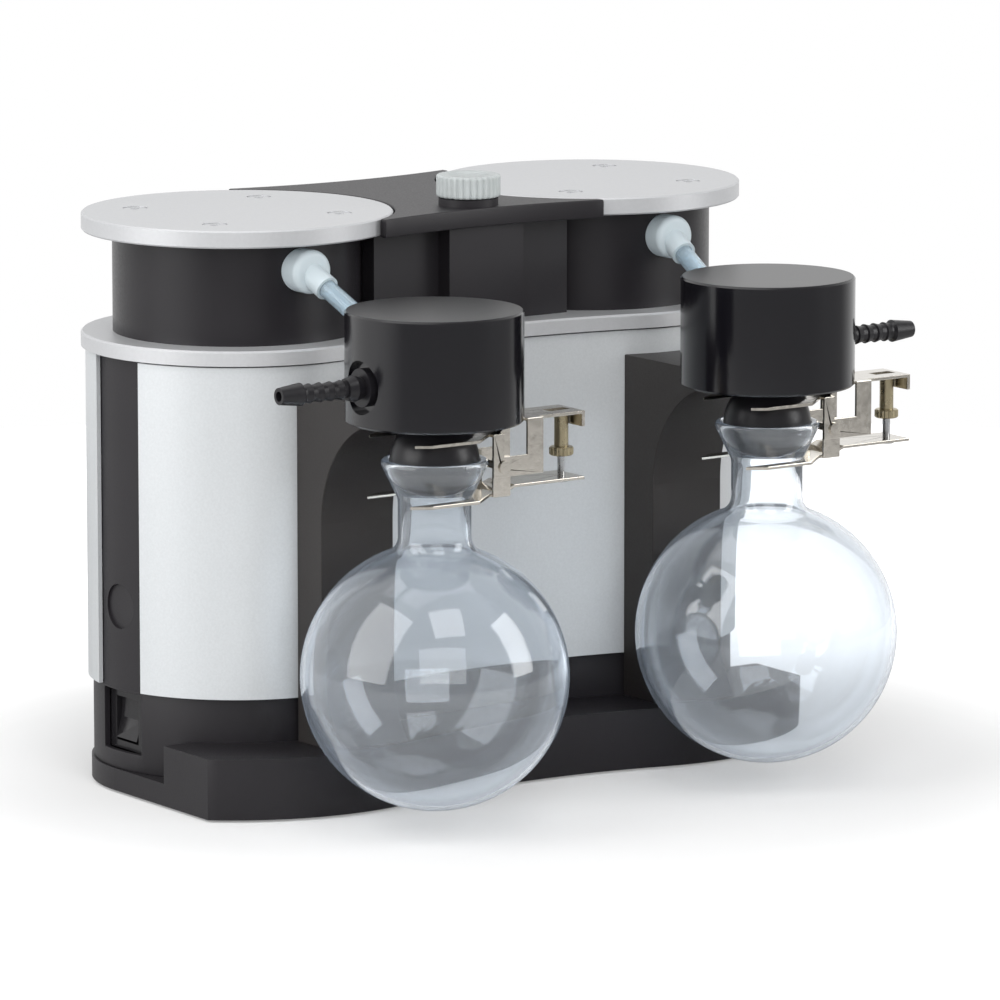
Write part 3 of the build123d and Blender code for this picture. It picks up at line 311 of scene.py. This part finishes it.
def coated_glass(tint):
    """Blown borosilicate glass with a milky safety coat: a thin veil, densest at the edges."""
    material, tree, shader = finish("coated_borosilicate_glass", tint, roughness=0.02, ior=1.474,
                                    transmission_weight=0.965, sheen_weight=0.3,
                                    sheen_roughness=0.45)
    shader.inputs["Sheen Tint"].default_value = (*linear("BCCDE2"), 1.0)
    place = add(tree, "ShaderNodeTexCoord")
    # Blowing leaves waves of about 22 mm in the wall.
    waves = add(tree, "ShaderNodeTexNoise", {"Scale": 1 / (22 * MM), "Detail": 1.0},
                {"Vector": place.outputs["Object"]})
    bump = add(tree, "ShaderNodeBump", {"Strength": 0.6, "Distance": 0.12 * MM},
               {"Height": waves.outputs["Fac"]})
    tree.links.new(bump.outputs["Normal"], shader.inputs["Normal"])
    return material


def machined(name, base, roughness):
    """Plain machined, cast or stacked metal inside the casing."""
    material, tree, shader = finish(name, base, metallic=1.0, roughness=roughness)
    grain(tree, shader, 0.8 * MM, 0.01 * MM, 0.05)
    return material


def wound_copper(base):
    """Enamelled copper wire, wound in layers: dark orange gloss with fine turns."""
    material, tree, shader = finish("enamelled_copper_wire", base, metallic=0.8, roughness=0.3,
                                    coat_weight=0.5)
    grain(tree, shader, 0.9 * MM, 0.08 * MM, 0.05, (1.0, 0.2, 0.2))
    return material


# ---- meshes ----

def surface(name, points):
    """Mesh of a grid of points, shape (rows, columns, 3), whose columns close round."""
    rows, columns = points.shape[:2]
    here = np.arange(rows * columns).reshape(rows, columns)
    beside = np.roll(here, -1, 1)
    faces = np.stack([here[:-1], beside[:-1], beside[1:], here[1:]], -1).reshape(-1, 4)
    mesh = bpy.data.meshes.new(name)
    mesh.from_pydata(points.reshape(-1, 3), [], faces)
    return mesh


def tidy(mesh):
    """Merges doubles at poles and seams, drops flat faces and points the rest outwards."""
    work = bmesh.new()
    work.from_mesh(mesh)
    bmesh.ops.remove_doubles(work, verts=work.verts, dist=SAME_POINT)
    bmesh.ops.dissolve_degenerate(work, edges=work.edges, dist=SHORT_EDGE)
    bmesh.ops.recalc_face_normals(work, faces=work.faces)
    work.to_mesh(mesh)
    work.free()
    mesh.shade_smooth()
    return mesh


def piece(name, grid, material, body, node):
    """Makes a grid a finished piece of the part, which rides on a body and replaces a CAD node."""
    mesh = tidy(surface(name, grid))
    shown = bpy.data.objects.new(name, mesh)
    bpy.context.scene.collection.objects.link(shown)
    mesh.materials.append(material)
    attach(shown, body)
    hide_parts(node)


def arc(centre, radius, start, end, steps):
    """Points (across, up) on a circle: centre plus radius times cosine and sine of an even turn."""
    turn = np.radians(np.linspace(start, end, steps))
    return np.stack([centre[0] + radius * np.cos(turn), centre[1] + radius * np.sin(turn)], 1)


def revolve(profile, centre, steps):
    """Grid of a profile (radius, height) turned round an upright line: x = r cos t, y = r sin t."""
    turn = np.linspace(0, 2 * math.pi, steps, endpoint=False)
    radius = profile[:, 0][:, None]
    x = centre[0] + radius * np.cos(turn)
    y = centre[1] + radius * np.sin(turn)
    z = np.broadcast_to(profile[:, 1][:, None], x.shape)
    return np.stack([x, y, z], -1)


def middle(node):
    """Centre of a CAD node's box."""
    low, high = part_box(node)
    return (low + high) / 2


def flask_profile(settings, bulb_radius, bulb_height, rim_height):
    """Closed outline of the glass from the outer pole up, over the rim and down inside.

    The bulb is an arc about its centre, the neck blend an arc that touches both bulb and neck,
    the cup a straight cone outside and an arc about the ball's centre inside.
    """
    bulb_steps, bend_steps, cup_steps = 72, 10, 24

    def wall_line(ball, neck, blend):
        # The blend's centre lies one blend radius outside both the neck and the bulb.
        across = neck + blend
        up = bulb_height + math.sqrt((ball + blend) ** 2 - across ** 2)
        lean = math.degrees(math.atan2(up - bulb_height, across))
        bulb = arc((0, bulb_height), ball, -90, lean, bulb_steps)
        bend = arc((across, up), blend, 180 + lean, 180, bend_steps)
        return bulb, bend

    neck, rim = settings.neck_radius, settings.rim_radius
    outer_bulb, outer_bend = wall_line(bulb_radius, neck, settings.neck_blend)
    inner_neck = neck - settings.wall
    inner_bulb, inner_bend = wall_line(bulb_radius - settings.wall, inner_neck,
                                       settings.neck_blend + settings.wall)
    cone_foot = rim_height - settings.cone_height
    band = rim_height - settings.rim_band
    # Small steps soften the cone's foot, and the lower and the upper edge of the thick rim.
    cone = np.array([[neck, cone_foot - 1.5 * MM], [neck + 0.25 * MM, cone_foot],
                     [rim - 0.5 * MM, band - 0.8 * MM], [rim, band + 0.2 * MM],
                     [rim, rim_height - 0.6 * MM], [rim - 0.6 * MM, rim_height]])
    cup_centre = rim_height - settings.ball_above
    low = -math.degrees(math.acos(inner_neck / settings.ball_radius))
    cup = arc((0, cup_centre), settings.ball_radius, 0, low, cup_steps)
    lip = np.array([[settings.ball_radius + 0.5 * MM, rim_height]])
    return np.concatenate([outer_bulb, outer_bend, cone, lip, cup, inner_bend[::-1],
                           inner_bulb[::-1]])


class PUMP_OT_flasks(bpy.types.Operator):
    """Blows both glass flasks as surfaces of revolution"""
    bl_idname = "pump.flasks"
    bl_label = "Glass flasks"

    def execute(self, context):
        settings = context.scene.pump_flask
        material = coated_glass(settings.tint)
        for side in SIDES:
            node = f"{side}_flask"
            low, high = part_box(node)
            radius = (high.x - low.x) / 2
            profile = flask_profile(settings, radius, low.z + radius, high.z)
            grid = revolve(profile, middle(node), settings.steps)
            piece(f"{side}_glass_flask", grid, material, f"{side}_flask_body", node)
        return {"FINISHED"}


class PUMP_OT_knob(bpy.types.Operator):
    """Makes the ribbed vent knob with its stem"""
    bl_idname = "pump.knob"
    bl_label = "Vent knob"

    def execute(self, context):
        settings = context.scene.pump_knob
        edge, ribs = settings.edge, settings.ribs
        low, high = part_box("vent_knob")
        centre = middle("vent_knob")
        radius = (high.x - low.x) / 2
        # The skirt hangs a little above the valve's seat, and only the stem goes into it.
        skirt_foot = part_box("vent_valve_seat")[1].z + 0.3 * MM
        stem, chamfer = 4.0 * MM, 0.4 * MM
        rise = arc((radius - edge, skirt_foot + edge), edge, -90, 0, 6)
        fall = arc((radius - edge, high.z - edge), edge, 0, 90, 8)
        upright = np.linspace(rise[-1], fall[0], 8)[1:-1]
        # The hollow in the top has a sloping wall and a flat floor.
        hollow = radius * 0.62
        dish = high.z - settings.dish
        profile = np.concatenate([
            [[0, low.z], [stem - chamfer, low.z], [stem, low.z + chamfer], [stem, skirt_foot]],
            rise, upright, fall,
            [[hollow + 0.5 * MM, high.z], [hollow, high.z - 0.5 * MM],
             [hollow - 0.6 * MM, dish], [hollow * 0.5, dish], [0, dish]]])
        steps = ribs * 12
        grid = revolve(profile, centre, steps)
        # Ribs: the radius sinks between them as the fourth power of a cosine, only on the skirt.
        turn = np.linspace(0, 2 * math.pi, steps, endpoint=False)
        reach = profile[:, 0][:, None]
        skirt = np.clip((reach - hollow - 1.5 * MM) / (radius - hollow - 2.5 * MM), 0, 1)
        sink = settings.rib_depth * skirt * np.cos(turn * ribs / 2)[None, :] ** 4
        scale = 1 - sink / np.maximum(reach, SAME_POINT)
        grid[..., 0] = centre.x + (grid[..., 0] - centre.x) * scale
        grid[..., 1] = centre.y + (grid[..., 1] - centre.y) * scale
        # Moulded nylon: dull, with a fine pebbled skin.
        material, tree, shader = finish("moulded_grey_nylon", settings.base, roughness=0.42,
                                        ior=1.53)
        mottle(tree, shader, settings.base, 6 * MM, 0.04)
        grain(tree, shader, 0.4 * MM, 0.01 * MM, 0.05)
        piece("ribbed_vent_knob", grid, material, "vent_valve", "vent_knob")
        return {"FINISHED"}


class PUMP_OT_finishes(bpy.types.Operator):
    """Gives every carried-over solid its real finish"""
    bl_idname = "pump.finishes"
    bl_label = "Finishes"

    def execute(self, context):
        settings = context.scene.pump_finish
        worn = (
            (moulded("textured_black_abs", settings.housing, 0.46, 0.6 * MM, 0.02 * MM),
             ["base_tray", "lower_housing", "casing", "centre_block", "bridge_plate",
              "vent_valve_seat"]),
            (moulded("satin_black_polyamide", settings.heads, 0.36, 1.0 * MM, 0.006 * MM),
             pair("head_body")),
            (moulded("charcoal_powder_coat", settings.arms, 0.5, 0.7 * MM, 0.03 * MM),
             pair("bracket")),
            (moulded("black_polypropylene", linear("18171A"), 0.34, 0.9 * MM, 0.01 * MM),
             [*pair("hose_barb"), "ball_joints", "mains_inlet"]),
            (moulded("polished_black_polycarbonate", linear("1C1B1D"), 0.2, 1.5 * MM, 0.004 * MM),
             ["switch_bezel", "switch_rocker"]),
            (moulded("black_nitrile_rubber", linear("1E1E20"), 0.7, 0.5 * MM, 0.03 * MM),
             ["rubber_feet", *pair("diaphragm"), "valve_flaps"]),
            (coated_sheet(settings.sheet), ["front_panel", "rear_panel"]),
            (satin_plate(settings.plate),
             ["collar_plate", *pair("head_cover"), "head_cover_screws"]),
            (turned_black(settings.anodised, middle("right_separator_head"),
                          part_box("right_separator_head")[1].z),
             pair("separator_head")),
            (plated("bright_nickel_plate", settings.nickel, 0.16),
             pair("clamp_upper", "clamp_lower", "clamp_pin")),
            (plated("plated_brass", settings.nut, 0.3), pair("clamp_nut")),
            (plated("zinc_plated_steel", linear("B9BBBD"), 0.28), pair("clamp_stud")),
            (fluoropolymer("milky_fluoropolymer", settings.milky, 0.25, 0.35),
             ["elbow_fittings"]),
            (fluoropolymer("clear_fluoropolymer_tube", settings.tube, 0.75, 0.12), pair("tube")),
            (machined("cast_aluminium", linear("B4B6B8"), 0.5),
             [*pair("crankcase", "connecting_rod", "pressure_disc"), "valve_plates"]),
            (machined("ground_steel", linear("A8AAAE"), 0.25),
             ["motor_shaft", "shaft_bearings", "eccentrics", *pair("rod_bearing")]),
            (machined("stacked_iron_sheet", linear("6A6C72"), 0.45),
             ["motor_stator", "rotor_core"]),
            (moulded("white_polypropylene", linear("DAD8D2"), 0.4, 0.8 * MM, 0.01 * MM),
             ["run_capacitor"]),
            (wound_copper(linear("B26A3A")), ["motor_windings"]),
        )
        for material, nodes in worn:
            for node in nodes:
                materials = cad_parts[node].data.materials
                materials.clear()
                materials.append(material)
        return {"FINISHED"}


class PUMP_OT_rounded_edges(bpy.types.Operator):
    """Rounds the edges of the stamped and moulded solids with modifiers"""
    bl_idname = "pump.rounded_edges"
    bl_label = "Rounded edges"

    def execute(self, context):
        # Widths in millimetres. Edges that turn by less than 40 degrees belong to round faces.
        sharp = math.radians(40)
        rounded = (
            (0.35, pair("clamp_upper", "clamp_lower")),
            (0.4, ["lower_housing", "mains_inlet"]),
            (0.5, ["switch_bezel"]),
            (0.6, ["bridge_plate"]),
            (0.8, ["base_tray", "centre_block", "switch_rocker"]),
            (1.2, pair("bracket")),
        )
        for width, nodes in rounded:
            for node in nodes:
                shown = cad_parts[node]
                weld = shown.modifiers.new("weld", "WELD")
                weld.merge_threshold = SAME_POINT
                bevel = shown.modifiers.new("edges", "BEVEL")
                bevel.width = width * MM
                bevel.segments = 3
                bevel.limit_method = "ANGLE"
                bevel.angle_limit = sharp
        return {"FINISHED"}


# ---- studio ----

class PUMP_OT_stage(bpy.types.Operator):
    """Sets the floor, the room's light, the soft lamps and the camera"""
    bl_idname = "pump.stage"
    bl_label = "Stage"

    def execute(self, context):
        scene = context.scene
        settings = scene.pump_studio
        low, high = cad_box
        self.floor(scene, settings, low.z)
        self.room(scene, settings)
        centre = (Vector(low) + Vector(high)) / 2
        for name, place, size, watts, mirrored in LAMPS:
            lamp = self.lamp(scene, name, Vector(place), size, watts * settings.lamps, centre)
            lamp.visible_glossy = mirrored
        self.camera(scene, settings)
        scene.view_settings.view_transform = "Standard"
        return {"FINISHED"}

    def floor(self, scene, settings, height):
        """A flat round floor: rings of growing radius, x = r cos t and y = r sin t."""
        rings = 12
        profile = np.stack([np.linspace(0, settings.reach, rings), np.full(rings, height)], 1)
        mesh = surface("floor", revolve(profile, (0.0, 0.0), 96))
        floor = bpy.data.objects.new("floor", mesh)
        scene.collection.objects.link(floor)
        # Matt white paper: no gloss, and it takes the part's shadow.
        material = bpy.data.materials.new("matt_white_paper")
        material.use_nodes = True
        tree = material.node_tree
        tree.nodes.clear()
        paper = add(tree, "ShaderNodeBsdfDiffuse", {"Color": (*settings.floor, 1.0)})
        path = add(tree, "ShaderNodeLightPath")
        shown = add(tree, "ShaderNodeMath", links={0: path.outputs["Is Camera Ray"],
                                                   1: path.outputs["Is Transmission Ray"]},
                    operation="MAXIMUM")
        place = add(tree, "ShaderNodeTexCoord")
        away = add(tree, "ShaderNodeVectorMath", links={0: place.outputs["Object"]},
                   operation="LENGTH")
        # Faint near the part, so that its shadow stays, and white farther out.
        lift = add(tree, "ShaderNodeMapRange",
                   {"From Min": settings.shade, "From Max": settings.white,
                    "To Min": settings.lift, "To Max": 1.0},
                   {"Value": away.outputs["Value"]}, interpolation_type="SMOOTHSTEP")
        level = add(tree, "ShaderNodeMath",
                    links={0: shown.outputs["Value"], 1: lift.outputs["Result"]},
                    operation="MULTIPLY")
        glow = add(tree, "ShaderNodeEmission", {"Color": (1, 1, 1, 1)},
                   {"Strength": level.outputs["Value"]})
        both = add(tree, "ShaderNodeAddShader",
                   links={0: paper.outputs["BSDF"], 1: glow.outputs["Emission"]})
        add(tree, "ShaderNodeOutputMaterial", links={"Surface": both.outputs["Shader"]})
        mesh.materials.append(material)

    def room(self, scene, settings):
        """White to the eye and to glass, a fade to gloss, and a weaker even light to the rest."""
        world = bpy.data.worlds.new("room")
        scene.world = world
        world.use_nodes = True
        tree = world.node_tree
        tree.nodes.clear()
        path = add(tree, "ShaderNodeLightPath")
        place = add(tree, "ShaderNodeTexCoord")
        apart = add(tree, "ShaderNodeSeparateXYZ", links={"Vector": place.outputs["Generated"]})
        # Gloss sees the white backdrop behind the part fade into the unlit room in front of it:
        # Y is -1 straight in front of the part and 1 straight behind it.
        fade = add(tree, "ShaderNodeMapRange",
                   {"From Min": -0.6, "From Max": 0.5, "To Min": settings.front, "To Max": 1.0},
                   {"Value": apart.outputs["Y"]}, interpolation_type="SMOOTHSTEP")
        gloss = add(tree, "ShaderNodeMath",
                    links={0: path.outputs["Is Glossy Ray"], 1: fade.outputs["Result"]},
                    operation="MULTIPLY")
        clear = add(tree, "ShaderNodeMath", links={0: path.outputs["Is Camera Ray"],
                                                   1: path.outputs["Is Transmission Ray"]},
                    operation="MAXIMUM")
        seen = add(tree, "ShaderNodeMath",
                   links={0: clear.outputs["Value"], 1: gloss.outputs["Value"]},
                   operation="MAXIMUM")
        level = add(tree, "ShaderNodeMath", {1: settings.room}, {0: seen.outputs["Value"]},
                    operation="MAXIMUM")
        glow = add(tree, "ShaderNodeBackground", {"Color": (1, 1, 1, 1)},
                   {"Strength": level.outputs["Value"]})
        add(tree, "ShaderNodeOutputWorld", links={"Surface": glow.outputs["Background"]})

    def lamp(self, scene, name, place, size, watts, target):
        """A rectangular soft lamp that faces the part."""
        data = bpy.data.lights.new(name, "AREA")
        data.shape = "RECTANGLE"
        data.size, data.size_y = size
        data.energy = watts
        lamp = bpy.data.objects.new(name, data)
        scene.collection.objects.link(lamp)
        lamp.location = place
        lamp.rotation_euler = (target - place).to_track_quat("-Z", "Y").to_euler()
        return lamp

    def camera(self, scene, settings):
        """The camera stands off to the front left and looks slightly down at the part."""
        data = bpy.data.cameras.new("camera")
        data.lens = settings.lens
        data.sensor_width = 36.0
        data.clip_end = 50.0
        camera = bpy.data.objects.new("camera", data)
        scene.collection.objects.link(camera)
        camera.location = settings.place
        camera.rotation_euler = (math.pi / 2 - settings.elevation, 0.0, -settings.azimuth)
        scene.camera = camera


class PUMP_PT_panel(bpy.types.Panel):
    """Lists the pump's pieces and their settings"""
    bl_label = "Vacuum pump"
    bl_idname = "PUMP_PT_panel"
    bl_space_type = "VIEW_3D"
    bl_region_type = "UI"
    bl_category = "Pump"

    def draw(self, context):
        scene = context.scene
        for settings, operator in ((scene.pump_flask, "pump.flasks"),
                                   (scene.pump_knob, "pump.knob"),
                                   (scene.pump_finish, "pump.finishes"),
                                   (scene.pump_studio, "pump.stage")):
            box = self.layout.box()
            box.operator(operator)
            for key in settings.__annotations__:
                box.prop(settings, key)
        self.layout.operator("pump.rounded_edges")


SETTINGS = {"pump_flask": FlaskSettings, "pump_knob": KnobSettings,
            "pump_finish": FinishSettings, "pump_studio": StudioSettings}
OPERATORS = (PUMP_OT_finishes, PUMP_OT_rounded_edges, PUMP_OT_flasks, PUMP_OT_knob, PUMP_OT_stage)


def register():
    """Registers the settings, the operators and the panel."""
    for key, group in SETTINGS.items():
        bpy.utils.register_class(group)
        setattr(bpy.types.Scene, key, PointerProperty(type=group))
    for operator in OPERATORS:
        bpy.utils.register_class(operator)
    bpy.utils.register_class(PUMP_PT_panel)


def unregister():
    """Takes them away again, last first."""
    bpy.utils.unregister_class(PUMP_PT_panel)
    for operator in reversed(OPERATORS):
        bpy.utils.unregister_class(operator)
    for key, group in reversed(SETTINGS.items()):
        delattr(bpy.types.Scene, key)
        bpy.utils.unregister_class(group)


def main():
    """Dresses the part."""
    register()
    for operator in OPERATORS:
        area, name = operator.bl_idname.split(".")
        getattr(getattr(bpy.ops, area), name)()


if __name__ == "__main__":
    main()
